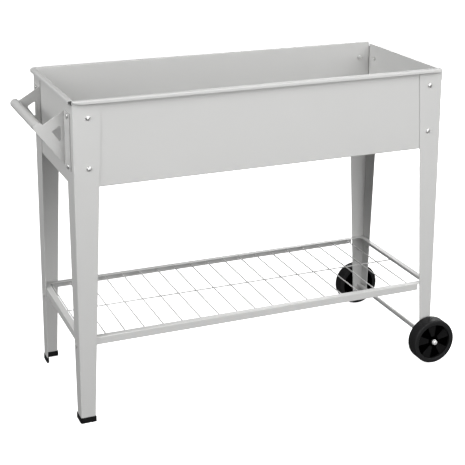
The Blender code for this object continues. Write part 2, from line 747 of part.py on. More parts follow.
def wheel_profile():
    """Closed ring section of a wheel, outer face at the top, from the bore outwards."""
    half = WHEEL_WIDTH / 2
    bore = AXLE_DIAMETER / 2 + AXLE_CLEARANCE
    hub = WHEEL_HUB_DIAMETER / 2
    face = WHEEL_FACE_DIAMETER / 2
    tyre = WHEEL_DIAMETER / 2
    web = half - WHEEL_RECESS
    return [(bore, half), (hub, half), (hub + 0.001, web), (face - 0.001, web), (face, half),
            (tyre - WHEEL_CHAMFER, half), (tyre - 0.0009, half - 0.0009), (tyre, half - WHEEL_CHAMFER),
            (tyre, -half + WHEEL_CHAMFER), (tyre - 0.0009, -half + 0.0009), (tyre - WHEEL_CHAMFER, -half),
            (face, -half), (face - 0.001, -web), (hub + 0.001, -web), (hub, -half), (bore, -half)]


def ring_mesh(name, profile):
    bm = bmesh.new()
    verts = [bm.verts.new((radius, 0.0, height)) for radius, height in profile]
    for first, second in zip(verts, verts[1:] + verts[:1]):
        bm.edges.new((first, second))
    return mesh_from(bm, name)


def paddle_outline():
    """Ring sector that runs a little into the hub and into the rim."""
    inner = WHEEL_HUB_DIAMETER / 2 - 0.002
    outer = WHEEL_FACE_DIAMETER / 2 + 0.001
    points = []
    steps = 4
    for step in range(steps + 1):
        angle = PADDLE_ANGLE * (step / steps - 0.5)
        points.append((outer * math.cos(angle), outer * math.sin(angle)))
    for angle in (PADDLE_ANGLE / 2, -PADDLE_ANGLE / 2):
        points.append((inner * math.cos(angle), inner * math.sin(angle)))
    return points


def paddles_mesh():
    """All paddles of one wheel, standing on the floor of the recess."""
    floor = WHEEL_WIDTH / 2 - WHEEL_RECESS
    sunk = 0.001
    height = PADDLE_DEPTH + sunk
    bm = bmesh.new()
    for index in range(PADDLE_COUNT):
        paddle = outline_mesh("paddle", [paddle_outline()], height)
        turn_to = Matrix.Rotation(PADDLE_START + 2 * math.pi * index / PADDLE_COUNT, 4, "Z")
        paddle.transform(Matrix.Translation((0.0, 0.0, floor - sunk + height / 2)) @ turn_to)
        bm.from_mesh(paddle)
        bpy.data.meshes.remove(paddle)
    return mesh_from(bm, "wheel_paddles")


def make_wheels(plastic):
    for name, side, angle in (("front", -1, FRONT), ("back", 1, BACK)):
        spot = (AXLE_X, side * WHEEL_Y, AXLE_Z)
        wheel = place(f"wheel_{name}", ring_mesh("wheel", wheel_profile()), plastic, spot,
                      axis_rotation(angle))
        turn(wheel, 48)
        paddles = place_cutter(f"wheel_paddles_{name}", paddles_mesh(), spot, axis_rotation(angle))
        boolean(wheel, paddles, "UNION")


def make_axle(zinc):
    reach = WHEEL_Y + WHEEL_WIDTH / 2 + AXLE_TAIL
    bm = bmesh.new()
    add_rod(bm, (AXLE_X, -reach, AXLE_Z), (AXLE_X, reach, AXLE_Z), AXLE_DIAMETER / 2, 24)
    smooth(place("axle", mesh_from(bm, "axle"), zinc))


def cap_profile():
    """Push-on cap: open underneath, domed on top."""
    outer = CAP_DIAMETER / 2
    bore = AXLE_DIAMETER / 2 + AXLE_CLEARANCE
    ceiling = AXLE_TAIL + FIT
    foot = 0.0008
    shoulder = ceiling + 0.0004
    profile = []
    for step in range(5):
        angle = math.pi / 2 * step / 4
        profile.append((outer * math.sin(angle), shoulder + CAP_CROWN * math.cos(angle)))
    return profile + [(outer, foot), (bore, foot), (bore, ceiling), (0.0, ceiling)]


def make_caps(zinc):
    reach = WHEEL_Y + WHEEL_WIDTH / 2
    for name, side, angle in (("front", -1, FRONT), ("back", 1, BACK)):
        cap = place(f"axle_cap_{name}", turned_mesh("axle_cap", cap_profile()), zinc,
                    (AXLE_X, side * reach, AXLE_Z), axis_rotation(angle))
        turn(cap, 24)


# ---------------------------------------------------------------- assembly
clear_scene()
PARTS = make_collection("raised_planter")
CUTTERS = make_collection("cutters")
BODY = bpy.data.objects.new("body", None)
BODY.location = (BODY_X, 0.0, 0.0)
PARTS.objects.link(BODY)


def main():
    steel = painted_steel()
    zinc = zinc_steel()
    plastic = black_plastic()
    bores = make_bolt_bores()
    axle_bore = make_axle_bore()
    make_box_panels(steel, bores)
    make_floor(steel)
    make_legs(steel, bores, axle_bore)
    make_feet(plastic)
    make_fasteners(zinc, steel)
    make_brackets(steel, bores)
    make_handle_tube(steel)
    make_long_rails(steel)
    make_end_rails(steel, bores)
    make_wire_mat(steel)
    make_wheels(plastic)
    make_axle(zinc)
    make_caps(zinc)
    bpy.context.view_layer.update()


main()
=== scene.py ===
"""Looks for the raised planter: powder-coated sheet metal, zinc fasteners and moulded wheels."""
import math

import bmesh
import bpy
from mathutils import Euler, Matrix, Vector


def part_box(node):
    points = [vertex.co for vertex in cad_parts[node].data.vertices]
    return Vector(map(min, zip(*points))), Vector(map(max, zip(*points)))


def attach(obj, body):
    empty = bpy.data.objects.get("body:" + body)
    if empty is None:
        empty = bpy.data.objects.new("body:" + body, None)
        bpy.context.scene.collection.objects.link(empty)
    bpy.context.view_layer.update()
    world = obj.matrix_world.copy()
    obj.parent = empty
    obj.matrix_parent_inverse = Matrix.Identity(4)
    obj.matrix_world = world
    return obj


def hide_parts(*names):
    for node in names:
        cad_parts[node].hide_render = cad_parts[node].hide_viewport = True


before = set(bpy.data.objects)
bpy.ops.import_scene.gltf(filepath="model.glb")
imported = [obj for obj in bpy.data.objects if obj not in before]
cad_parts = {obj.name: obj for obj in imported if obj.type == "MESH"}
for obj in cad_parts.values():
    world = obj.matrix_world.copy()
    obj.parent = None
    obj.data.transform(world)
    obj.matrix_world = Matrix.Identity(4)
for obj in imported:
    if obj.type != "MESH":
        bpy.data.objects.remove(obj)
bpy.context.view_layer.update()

bl_info = {
    "name": "Raised planter",
    "version": (1, 0, 0),
    "blender": (4, 5, 0),
    "location": "View3D > Sidebar > Planter",
    "description": "Builds the visible pieces of a raised planter around its packed frame",
    "category": "Object",
}

CORNERS = ("front_left", "front_right", "back_right", "back_left")
LEVELS = ("upper", "lower")
SHEET_PIECES = {
    "panel_front": "front_panel",
    "panel_back": "back_panel",
    "panel_left": "left_panel",
    "panel_right": "right_panel",
    "box_floor": "floor_sheet",
    "leg_front_left": "front_left_leg",
    "leg_front_right": "front_right_leg",
    "leg_back_right": "back_right_leg",
    "leg_back_left": "back_left_leg",
    "handle_bracket_front": "front_handle_bracket",
    "handle_bracket_back": "back_handle_bracket",
    "shelf_rail_front": "front_shelf_rail",
    "shelf_rail_back": "back_shelf_rail",
    "shelf_rail_left": "left_shelf_rail",
    "shelf_rail_right": "right_shelf_rail",
}
FOOT_PIECES = {"foot_front_left": "front_foot_cap", "foot_back_left": "back_foot_cap"}
FOOT_EDGE = 0.0005        # rounding along the edges of a foot cap

# Place and diameter of each lamp.
LAMPS = {
    "key": ((1.3, -2.6, 2.6), 3.6),
    "fill": ((-3.0, -0.8, 2.5), 2.6),
    "low": ((0.2, -3.4, 0.4), 1.8),
    "back": ((1.8, 3.0, 0.8), 1.8),
}


# ---------------------------------------------------------------- settings
class PaintSettings(bpy.types.PropertyGroup):
    colour: bpy.props.FloatVectorProperty(
        name="Colour", description="Powder coat on the sheet metal", subtype="COLOR",
        size=3, min=0.0, max=1.0, default=(0.60, 0.60, 0.592))
    roughness: bpy.props.FloatProperty(
        name="Roughness", description="How matt the coat is", subtype="FACTOR",
        min=0.0, max=1.0, default=0.46)
    peel: bpy.props.FloatProperty(
        name="Orange peel", description="Width of the soft ripples in the coat",
        unit="LENGTH", default=0.0022)
    grain: bpy.props.FloatProperty(
        name="Grain", description="Width of the fine powder grain",
        unit="LENGTH", default=0.0005)
    edge: bpy.props.FloatProperty(
        name="Edge radius", description="Rounding that the coat gives to cut edges",
        unit="LENGTH", default=0.0004)


class ZincSettings(bpy.types.PropertyGroup):
    colour: bpy.props.FloatVectorProperty(
        name="Colour", description="Bright zinc plating", subtype="COLOR",
        size=3, min=0.0, max=1.0, default=(0.80, 0.80, 0.79))
    roughness: bpy.props.FloatProperty(
        name="Roughness", description="Roughness of the plating", subtype="FACTOR",
        min=0.0, max=1.0, default=0.27)


class FastenerSettings(bpy.types.PropertyGroup):
    head_height: bpy.props.FloatProperty(
        name="Head height", description="Height of the domed screw head",
        unit="LENGTH", default=0.0031)
    recess_width: bpy.props.FloatProperty(
        name="Recess width", description="Width of each slot of the cross recess",
        unit="LENGTH", default=0.0013)
    recess_reach: bpy.props.FloatProperty(
        name="Recess reach", description="Middle of the head to the end of a slot",
        unit="LENGTH", default=0.0029)
    recess_depth: bpy.props.FloatProperty(
        name="Recess depth", description="Depth of the cross recess",
        unit="LENGTH", default=0.0019)
    thread_diameter: bpy.props.FloatProperty(
        name="Thread diameter", description="Diameter over the screw thread",
        unit="LENGTH", default=0.006)
    thread_pitch: bpy.props.FloatProperty(
        name="Thread pitch", description="Distance between turns of the thread",
        unit="LENGTH", default=0.001)
    thread_depth: bpy.props.FloatProperty(
        name="Thread depth", description="Depth of the thread groove",
        unit="LENGTH", default=0.00055)


class ShelfSettings(bpy.types.PropertyGroup):
    wire_count: bpy.props.IntProperty(
        name="Wires", description="Number of crosswise wires", min=2, default=20)
    wire_pitch: bpy.props.FloatProperty(
        name="Wire spacing", description="Distance between crosswise wires",
        unit="LENGTH", default=0.0489)
    wire_offset: bpy.props.FloatProperty(
        name="Wire offset", description="Middle of the shelf to the middle of the wires",
        unit="LENGTH", default=0.003)
    wire_diameter: bpy.props.FloatProperty(
        name="Wire diameter", description="Diameter of every shelf wire",
        unit="LENGTH", default=0.003)
    weld_overlap: bpy.props.FloatProperty(
        name="Weld overlap", description="Depth by which crossing wires run together",
        unit="LENGTH", default=0.0004)


class WheelSettings(bpy.types.PropertyGroup):
    tyre_colour: bpy.props.FloatVectorProperty(
        name="Tyre colour", description="Matt outer ring of the wheel", subtype="COLOR",
        size=3, min=0.0, max=1.0, default=(0.012, 0.012, 0.0125))
    paddle_colour: bpy.props.FloatVectorProperty(
        name="Paddle colour", description="Paddles of the wheel", subtype="COLOR",
        size=3, min=0.0, max=1.0, default=(0.006, 0.006, 0.0062))
    # Far darker than the paddles and the tyre: painted shade on the recess floor between the paddles, also
    # laid on the hub.
    shaded_recess_colour: bpy.props.FloatVectorProperty(
        name="Recess colour", description="Hub and floor of the recess between the paddles",
        subtype="COLOR", size=3, min=0.0, max=1.0, default=(0.0005, 0.0005, 0.0005))
    face_radius: bpy.props.FloatProperty(
        name="Face radius", description="Radius of the recessed outer face",
        unit="LENGTH", default=0.0475)
    recess: bpy.props.FloatProperty(
        name="Recess", description="Depth of the recessed face",
        unit="LENGTH", default=0.008)
    hub_radius: bpy.props.FloatProperty(
        name="Hub radius", description="Radius of the hub", unit="LENGTH", default=0.012)
    bore_radius: bpy.props.FloatProperty(
        name="Bore radius", description="Radius of the axle bore", unit="LENGTH", default=0.0063)
    shoulder: bpy.props.FloatProperty(
        name="Shoulder", description="Rounding between tread and side",
        unit="LENGTH", default=0.003)
    paddle_count: bpy.props.IntProperty(
        name="Paddles", description="Raised sectors in the outer face", min=2, default=5)
    paddle_angle: bpy.props.FloatProperty(
        name="Paddle angle", description="Angle that each paddle spans",
        subtype="ANGLE", default=math.radians(34))
    paddle_start: bpy.props.FloatProperty(
        name="Paddle start", description="Direction of the first paddle about the axle",
        subtype="ANGLE", default=math.radians(44))
    paddle_height: bpy.props.FloatProperty(
        name="Paddle height", description="Height of a paddle over the recessed face",
        unit="LENGTH", default=0.0045)
    tread_depth: bpy.props.FloatProperty(
        name="Tread depth", description="Depth of the grooves in the rolling face",
        unit="LENGTH", default=0.0006)


class StageSettings(bpy.types.PropertyGroup):
    floor_colour: bpy.props.FloatVectorProperty(
        name="Floor colour", description="Pale studio floor", subtype="COLOR",
        size=3, min=0.0, max=1.0, default=(0.9, 0.9, 0.9))
    floor_glow: bpy.props.FloatProperty(
        name="Floor glow", description="Even light given off by the floor",
        min=0.0, default=0.97)
    floor_reach: bpy.props.FloatProperty(
        name="Floor reach", description="Middle of the floor to its edge",
        unit="LENGTH", default=14.0)
    sky: bpy.props.FloatProperty(
        name="Sky light", description="Strength of the soft light all round",
        min=0.0, default=0.26)
    ground: bpy.props.FloatProperty(
        name="Ground light", description="Strength of the soft light from below",
        min=0.0, default=0.14)
    key_power: bpy.props.FloatProperty(
        name="Key light", description="Power of the large light at the front right",
        unit="POWER", default=96.0)
    fill_power: bpy.props.FloatProperty(
        name="Fill light", description="Power of the broad light at the left",
        unit="POWER", default=92.0)
    low_power: bpy.props.FloatProperty(
        name="Low light", description="Power of the low light in front",
        unit="POWER", default=38.0)
    back_power: bpy.props.FloatProperty(
        name="Back light", description="Power of the broad light behind",
        unit="POWER", default=70.0)


class CameraSettings(bpy.types.PropertyGroup):
    position: bpy.props.FloatVectorProperty(
        name="Position", description="Place of the camera", subtype="TRANSLATION",
        size=3, default=(-1.0953, -2.6412, 1.4199))
    azimuth: bpy.props.FloatProperty(
        name="Azimuth", description="Turn about the vertical, from the front",
        subtype="ANGLE", default=math.radians(-22.50))
    elevation: bpy.props.FloatProperty(
        name="Elevation", description="Angle by which the camera looks down",
        subtype="ANGLE", default=math.radians(14.45))
    roll: bpy.props.FloatProperty(
        name="Roll", description="Turn about the line of sight",
        subtype="ANGLE", default=math.radians(0.26))
    lens: bpy.props.FloatProperty(
        name="Focal length", description="Focal length on a 36 mm sensor",
        unit="CAMERA", default=89.39)
    shift: bpy.props.FloatVectorProperty(
        name="Shift", description="Sideways and upward shift of the lens",
        size=2, default=(-0.0024, -0.2575))


# ---------------------------------------------------------------- shader sums
class Value:
    """A socket of a node tree. Sums with it add Math nodes to the tree."""

    def __init__(self, shader, socket):
        self.shader = shader
        self.socket = socket

    def _sum(self, operation, *terms):
        return self.shader.node("ShaderNodeMath", {"operation": operation},
                                dict(enumerate(terms)))

    def __add__(self, other):
        return self._sum("ADD", self, other)

    __radd__ = __add__

    def __mul__(self, other):
        return self._sum("MULTIPLY", self, other)

    __rmul__ = __mul__


# Sockets of the Mix node that belong to its colour mode.
MIX_FACTOR, MIX_A, MIX_B, MIX_RESULT = 0, 6, 7, 2


class Shader:
    """Nodes of a material or a world."""

    def __init__(self, tree):
        self.tree = tree
        self.tree.nodes.clear()

    @classmethod
    def of_material(cls, name):
        made = bpy.data.materials.new(name)
        made.use_nodes = True
        shader = cls(made.node_tree)
        shader.material = made
        return shader

    def node(self, kind, settings=None, sockets=None, out=0):
        """Adds a node: its settings first, then the values or links of its sockets."""
        made = self.tree.nodes.new(kind)
        for key, value in (settings or {}).items():
            setattr(made, key, value)
        for key, value in (sockets or {}).items():
            if isinstance(value, Value):
                self.tree.links.new(value.socket, made.inputs[key])
            else:
                made.inputs[key].default_value = value
        return Value(self, made.outputs[out]) if len(made.outputs) else None

    def place(self):
        """Position on the piece, in metres."""
        return self.node("ShaderNodeTexCoord", out="Object")

    def noise(self, width, detail, stretch=(1.0, 1.0, 1.0)):
        """Soft noise between 0 and 1 whose features have about the given width."""
        where = self.node("ShaderNodeVectorMath", {"operation": "MULTIPLY"},
                          {0: self.place(), 1: stretch})
        return self.node("ShaderNodeTexNoise", None,
                         {"Vector": where, "Scale": 1.0 / width, "Detail": detail, "Roughness": 0.5})

    def mix(self, factor, first, second):
        """Colour between first and second."""
        return self.node("ShaderNodeMix", {"data_type": "RGBA"},
                         {MIX_FACTOR: factor, MIX_A: as_colour(first), MIX_B: as_colour(second)},
                         out=MIX_RESULT)

    def bump(self, height, distance, strength, below=None):
        """Normal that follows a height, on top of the normal below."""
        sockets = {"Height": height, "Distance": distance, "Strength": strength}
        if below is not None:
            sockets["Normal"] = below
        return self.node("ShaderNodeBump", None, sockets)

    def surface(self, sockets):
        """Ends the tree in a Principled shader."""
        shader = self.node("ShaderNodeBsdfPrincipled", None, sockets)
        self.node("ShaderNodeOutputMaterial", None, {"Surface": shader})
        return self.material


def as_colour(value):
    return value if isinstance(value, Value) else (*value, 1.0)


def tint(colour, factor):
    """The colour made lighter or darker."""
    return tuple(min(1.0, part * factor) for part in colour)


def powder_coat(name):
    """Light grey powder coat: soft orange peel, fine grain and a faint cloudiness."""
    paint = bpy.context.scene.planter_paint
    colour = tuple(paint.colour)
    shader = Shader.of_material(name)
    clouds = shader.noise(0.16, 2.0)
    speckle = shader.noise(paint.grain, 1.0)
    tone = shader.mix(clouds, tint(colour, 0.975), tint(colour, 1.02))
    tone = shader.mix(speckle * 0.35, tone, tint(colour, 0.93))
    peel = shader.bump(shader.noise(paint.peel, 1.5), 0.00004, 0.55)
    grain = shader.bump(speckle, 0.00002, 0.35, peel)
    return shader.surface({
        "Base Color": tone,
        "Roughness": paint.roughness - 0.04 + 0.08 * shader.noise(0.05, 3.0),
        "Normal": grain,
    })


def zinc_plating(name, shade, metallic, dullness=0.0, stretch=(1.0, 1.0, 1.0)):
    """Zinc plating with faint drawn or turned marks; a duller one is rougher."""
    zinc = bpy.context.scene.planter_zinc
    colour = tint(tuple(zinc.colour), shade)
    shader = Shader.of_material(name)
    marks = shader.noise(0.0012, 3.0, stretch)
    clouds = shader.noise(0.009, 3.0)
    tone = shader.mix(clouds, tint(colour, 0.86), tint(colour, 1.06))
    return shader.surface({
        "Base Color": tone,
        "Metallic": metallic,
        "Roughness": zinc.roughness + dullness - 0.05 + 0.16 * marks,
        "Normal": shader.bump(marks, 0.00003, 0.4),
    })


def moulded_plastic(name, colour, roughness, grain, shine):
    """Black moulded plastic with a spark-eroded grain."""
    shader = Shader.of_material(name)
    texture = shader.noise(grain, 2.0)
    clouds = shader.noise(0.02, 2.0)
    tone = shader.mix(clouds, tint(colour, 0.85), tint(colour, 1.2))
    return shader.surface({
        "Base Color": tone,
        "Roughness": roughness - 0.06 + 0.12 * texture,
        "Specular IOR Level": shine,
        "Normal": shader.bump(texture, 0.00006, 0.5),
    })


def studio_floor():
    """Pale matt floor that also glows a little, so that shadows on it stay faint."""
    stage = bpy.context.scene.planter_stage
    colour = (*stage.floor_colour, 1.0)
    shader = Shader.of_material("studio_floor")
    return shader.surface({
        "Base Color": colour,
        "Roughness": 0.9,
        "Specular IOR Level": 0.1,
        "Emission Color": colour,
        "Emission Strength": stage.floor_glow,
    })


MATERIALS = {}


def material(name, maker, **details):
    """The named material, made the first time it is asked for."""
    if name not in MATERIALS:
        MATERIALS[name] = maker(name, **details)
    return MATERIALS[name]


def sheet_paint():
    """Powder coat of the sheet metal, the handle, the shelf and the shelf screws."""
    return material("powder_coat", powder_coat)


def fastener_zinc():
    """Bright plating of the screws and nuts."""
    return material("bright_zinc", zinc_plating, shade=1.05, metallic=0.85)


def cap_zinc():
    """Paler and softer plating of the pressed axle caps."""
    return material("pressed_zinc", zinc_plating, shade=1.2, metallic=0.5, dullness=0.2)


def axle_zinc():
    """Dull plating of the drawn axle, with marks that run along it."""
    return material("drawn_zinc", zinc_plating, shade=0.9, metallic=0.35, dullness=0.25,
                    stretch=(1.0, 0.04, 1.0))


def foot_plastic():
    return material("foot_plastic", moulded_plastic, colour=(0.006, 0.006, 0.0063),
                    roughness=0.5, grain=0.0006, shine=0.2)


def tyre_plastic(wheel):
    return material("tyre_plastic", moulded_plastic, colour=tuple(wheel.tyre_colour),
                    roughness=0.55, grain=0.0011, shine=0.25)


def paddle_plastic(wheel):
    return material("paddle_plastic", moulded_plastic, colour=tuple(wheel.paddle_colour),
                    roughness=0.5, grain=0.0005, shine=0.12)


# Near-black and without shine: painted shade for the recess floor and the hub, which are the same plastic as
# the paddles.
def recess_plastic(wheel):
    return material("recess_plastic", moulded_plastic, colour=tuple(wheel.shaded_recess_colour),
                    roughness=0.7, grain=0.0005, shine=0.0)


# ---------------------------------------------------------------- mesh making
def finished_mesh(name, bm, sharp=math.radians(38)):
    """Turns the bmesh into a mesh with smooth faces and sharp corners."""
    bmesh.ops.recalc_face_normals(bm, faces=bm.faces)
    mesh = bpy.data.meshes.new(name)
    bm.to_mesh(mesh)
    bm.free()
    mesh.polygons.foreach_set("use_smooth", [True] * len(mesh.polygons))
    mesh.set_sharp_from_angle(angle=sharp)
    return mesh


def add_piece(name, mesh, materials, body, nodes, matrix=None):
    """Puts a piece in the scene, rides it on its body and stands it for its CAD nodes."""
    piece = bpy.data.objects.new(name, mesh)
    for entry in materials:
        mesh.materials.append(entry)
    bpy.context.scene.collection.objects.link(piece)
    if matrix is not None:
        piece.matrix_world = matrix
    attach(piece, body)
    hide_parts(*nodes)
    return piece


def add_ring(bm, points):
    return [bm.verts.new(point) for point in points]


def bridge(bm, lower, upper):
    """Faces between two closed rings of the same length."""
    count = len(lower)
    for index in range(count):
        after = (index + 1) % count
        bm.faces.new((lower[index], lower[after], upper[after], upper[index]))


def turned_ring(bm, radius, height, sides):
    points = []
    for index in range(sides):
        angle = 2 * math.pi * index / sides
        points.append((radius * math.cos(angle), radius * math.sin(angle), height))
    return add_ring(bm, points)


def add_turned(bm, profile, sides, closed=False):
    """Turns a profile of (radius, height) about Z; a closed one is a ring section."""
    rings = [turned_ring(bm, radius, height, sides) for radius, height in profile]
    for lower, upper in zip(rings, rings[1:]):
        bridge(bm, lower, upper)
    if closed:
        bridge(bm, rings[-1], rings[0])
    else:
        bm.faces.new(rings[0])
        bm.faces.new(rings[-1])


def arc(middle, radius, start, end, steps):
    """Points of an arc from one angle to another."""
    points = []
    for step in range(steps + 1):
        angle = start + (end - start) * step / steps
        points.append((middle[0] + radius * math.cos(angle), middle[1] + radius * math.sin(angle)))
    return points


def dome_points(radius, base, rise, steps):
    """Profile of a dome above its base, without its edge and its top."""
    points = []
    for step in range(1, steps):
        angle = math.pi / 2 * step / steps
        points.append((radius * math.cos(angle), base + rise * math.sin(angle)))
    return points


def outward_turn(angle):
    """Turns +Z into the horizontal direction at the given angle from +X."""
    return Euler((0.0, math.pi / 2, angle)).to_matrix().to_4x4()


def welded_copy(node):
    """The shape of a CAD node with its triangles joined into whole faces."""
    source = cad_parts[node].data
    bm = bmesh.new()
    verts = [bm.verts.new(vertex.co) for vertex in source.vertices]
    for polygon in source.polygons:
        bm.faces.new([verts[index] for index in polygon.vertices])
    bmesh.ops.remove_doubles(bm, verts=bm.verts, dist=0.00001)
    bmesh.ops.dissolve_limit(bm, angle_limit=math.radians(0.6), verts=bm.verts, edges=bm.edges)
    return bm


def rounded_piece(node, name, edge, surface):
    """A CAD node's shape with softly rounded edges."""
    mesh = finished_mesh(name, welded_copy(node), math.radians(180))
    piece = add_piece(name, mesh, [surface], "planter", [node])
    bevel = piece.modifiers.new("rounded_edges", "BEVEL")
    bevel.limit_method = "ANGLE"
    bevel.angle_limit = math.radians(35)
    bevel.width = edge
    bevel.segments = 2
    bevel.use_clamp_overlap = False
    normals = piece.modifiers.new("even_shading", "WEIGHTED_NORMAL")
    normals.mode = "FACE_AREA"
    normals.weight = 100


# ---------------------------------------------------------------- fasteners
def recess_cutter(fastener, top):
    """Cross-shaped plug that narrows downwards."""
    width = fastener.recess_width / 2
    reach = fastener.recess_reach
    outline = []
    for quarter in range(4):
        angle = quarter * math.pi / 2
        for x, y in ((width, width), (width, reach), (-width, reach)):
            outline.append((x * math.cos(angle) - y * math.sin(angle),
                            x * math.sin(angle) + y * math.cos(angle)))
    above = 0.001
    taper = 0.55
    bm = bmesh.new()
    upper = add_ring(bm, [(x, y, top + above) for x, y in outline])
    lower = add_ring(bm, [(x * taper, y * taper, top - fastener.recess_depth) for x, y in outline])
    bridge(bm, lower, upper)
    bm.faces.new(lower)
    bm.faces.new(upper)
    return finished_mesh("recess_cutter", bm)


def cut(mesh, cutter_mesh):
    """The mesh with the cutter taken out of it."""
    body = bpy.data.objects.new("body_to_cut", mesh)
    cutter = bpy.data.objects.new("cutter", cutter_mesh)
    scene = bpy.context.scene.collection
    for thing in (body, cutter):
        scene.objects.link(thing)
    modifier = body.modifiers.new("cut", "BOOLEAN")
    modifier.operation = "DIFFERENCE"
    modifier.solver = "EXACT"
    modifier.object = cutter
    graph = bpy.context.evaluated_depsgraph_get()
    result = bpy.data.meshes.new_from_object(body.evaluated_get(graph))
    for thing in (body, cutter):
        bpy.data.objects.remove(thing)
    return result


def head_mesh(radius, fastener):
    """Domed head with a cross recess, standing on Z = 0."""
    height = fastener.head_height
    rim = 0.0007
    profile = [(radius * 0.97, 0.0), (radius, 0.0002), (radius, rim)]
    profile += dome_points(radius, rim, height - rim, 9)
    profile.append((radius * 0.08, height))
    bm = bmesh.new()
    add_turned(bm, profile, 40)
    return cut(finished_mesh("head", bm), recess_cutter(fastener, height))


def add_thread(bm, length, fastener):
    """Threaded shank from Z = 0 down to the given length, with a pointed start."""
    sides = 20
    steps_per_turn = 6
    radius = fastener.thread_diameter / 2
    pitch = fastener.thread_pitch
    point_length = 0.0008
    point_depth = 0.0006
    steps = max(4, int(length / pitch * steps_per_turn))
    rings = []
    for step in range(steps + 1):
        depth = length * step / steps
        points = []
        for index in range(sides):
            turn = index / sides
            wave = abs(2 * ((depth / pitch + turn) % 1.0) - 1)
            end = min(1.0, (length - depth) / point_length)
            reach = radius - fastener.thread_depth * wave - point_depth * (1 - end)
            angle = 2 * math.pi * turn
            points.append((reach * math.cos(angle), reach * math.sin(angle), -depth))
        rings.append(add_ring(bm, points))
    for upper, lower in zip(rings, rings[1:]):
        bridge(bm, upper, lower)
    bm.faces.new(rings[0])
    bm.faces.new(rings[-1])


def fastener_side(corner, face):
    """Outward direction of a fastener as an angle, from the corner's name."""
    if face == "side":
        return -math.pi / 2 if corner.startswith("front") else math.pi / 2
    return math.pi if corner.endswith("left") else 0.0


def span_along(node, angle):
    """Least and greatest reach of a CAD node in a horizontal direction, and its middle."""
    low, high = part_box(node)
    direction = Vector((math.cos(angle), math.sin(angle), 0.0))
    middle = (low + high) / 2
    half = abs((high - low).dot(direction)) / 2
    reach = middle.dot(direction)
    return reach - half, reach + half, middle, direction


def add_screw(name, node, angle, head, surface):
    fastener = bpy.context.scene.planter_fasteners
    inner, outer, middle, direction = span_along(node, angle)
    seat = outer - fastener.head_height
    origin = middle + direction * (seat - middle.dot(direction))
    bm = bmesh.new()
    bm.from_mesh(head)
    add_thread(bm, seat - inner, fastener)
    mesh = finished_mesh(name, bm)
    spin = Matrix.Rotation(math.radians(sum(map(ord, name)) % 90), 4, "Z")
    matrix = Matrix.Translation(origin) @ outward_turn(angle) @ spin
    add_piece(name, mesh, [surface], "planter", [node], matrix)


def hexagon_reach(across, angle):
    """Distance from the middle of a hexagon to its side, in a direction."""
    sector = math.pi / 3
    return across / 2 / math.cos((angle % sector) - sector / 2)


def nut_mesh(name, across, height, bore):
    """Hexagon nut with chamfered corners, its faces at both ends alike."""
    sides = 48
    chamfer = across / 2 * 0.97
    countersink = 0.0004
    half = height / 2
    slope = math.tan(math.radians(30))
    bm = bmesh.new()
    rings = []
    for sign in (-1, 1):
        edge = []
        for index in range(sides):
            angle = 2 * math.pi * index / sides
            reach = hexagon_reach(across, angle)
            edge.append((reach * math.cos(angle), reach * math.sin(angle),
                         sign * (half - (reach - chamfer) * slope)))
        rings.append((turned_ring(bm, bore, sign * (half - countersink), sides),
                      turned_ring(bm, bore + countersink, sign * half, sides),
                      turned_ring(bm, chamfer, sign * half, sides),
                      add_ring(bm, edge)))
    for lower, upper in zip(rings[0], rings[0][1:]):
        bridge(bm, lower, upper)
    bridge(bm, rings[0][-1], rings[1][-1])
    for upper, lower in zip(rings[1][::-1], rings[1][::-1][1:]):
        bridge(bm, upper, lower)
    bridge(bm, rings[1][0], rings[0][0])
    return finished_mesh(name, bm, math.radians(25))


# ---------------------------------------------------------------- wheels
def wheel_section(wheel, radius, half):
    """Ring section of a wheel as (radius, height, kind), from the bore over the outer face.

    The small steps between the named sizes round the corners of the moulding.
    """
    shoulder = wheel.shoulder
    web = half - wheel.recess
    hub = wheel.hub_radius
    face = wheel.face_radius
    outer = [(wheel.bore_radius, half - 0.0006, "disc"), (wheel.bore_radius + 0.0006, half, "disc"),
             (hub - 0.0012, half, "disc"), (hub - 0.0003, half - 0.0004, "disc"),
             (hub, half - 0.0012, "disc"), (hub + 0.0008, web + 0.0008, "disc"),
             (hub + 0.0018, web, "disc")]
    steps = 7
    inner_end = hub + 0.0032
    outer_end = face - 0.0014
    for step in range(steps + 1):
        reach = inner_end + (outer_end - inner_end) * step / steps
        outer.append((reach, web, "paddle"))
    outer += [(face - 0.0007, web + 0.0007, "disc"), (face - 0.0003, half - 0.0010, "disc"),
              (face + 0.0004, half - 0.0002, "ring"), (face + 0.0012, half, "ring")]
    for x, y in arc((radius - shoulder, half - shoulder), shoulder, math.pi / 2, 0.0, 5):
        outer.append((x, y, "ring"))
    inner = [(reach, -height, "back" if kind == "paddle" else kind)
             for reach, height, kind in reversed(outer)]
    flat = half - shoulder
    tread_steps = 10
    tread = [(radius, flat - 2 * flat * step / tread_steps, "tread") for step in range(1, tread_steps)]
    return outer + tread + inner


def paddle_share(wheel, angle):
    """1 on top of a paddle, 0 between paddles, from the angle about the axle."""
    sector = 2 * math.pi / wheel.paddle_count
    away = abs((angle - wheel.paddle_start + sector / 2) % sector - sector / 2)
    wall = math.radians(1.5)
    return min(1.0, max(0.0, (wheel.paddle_angle / 2 + wall / 2 - away) / wall))


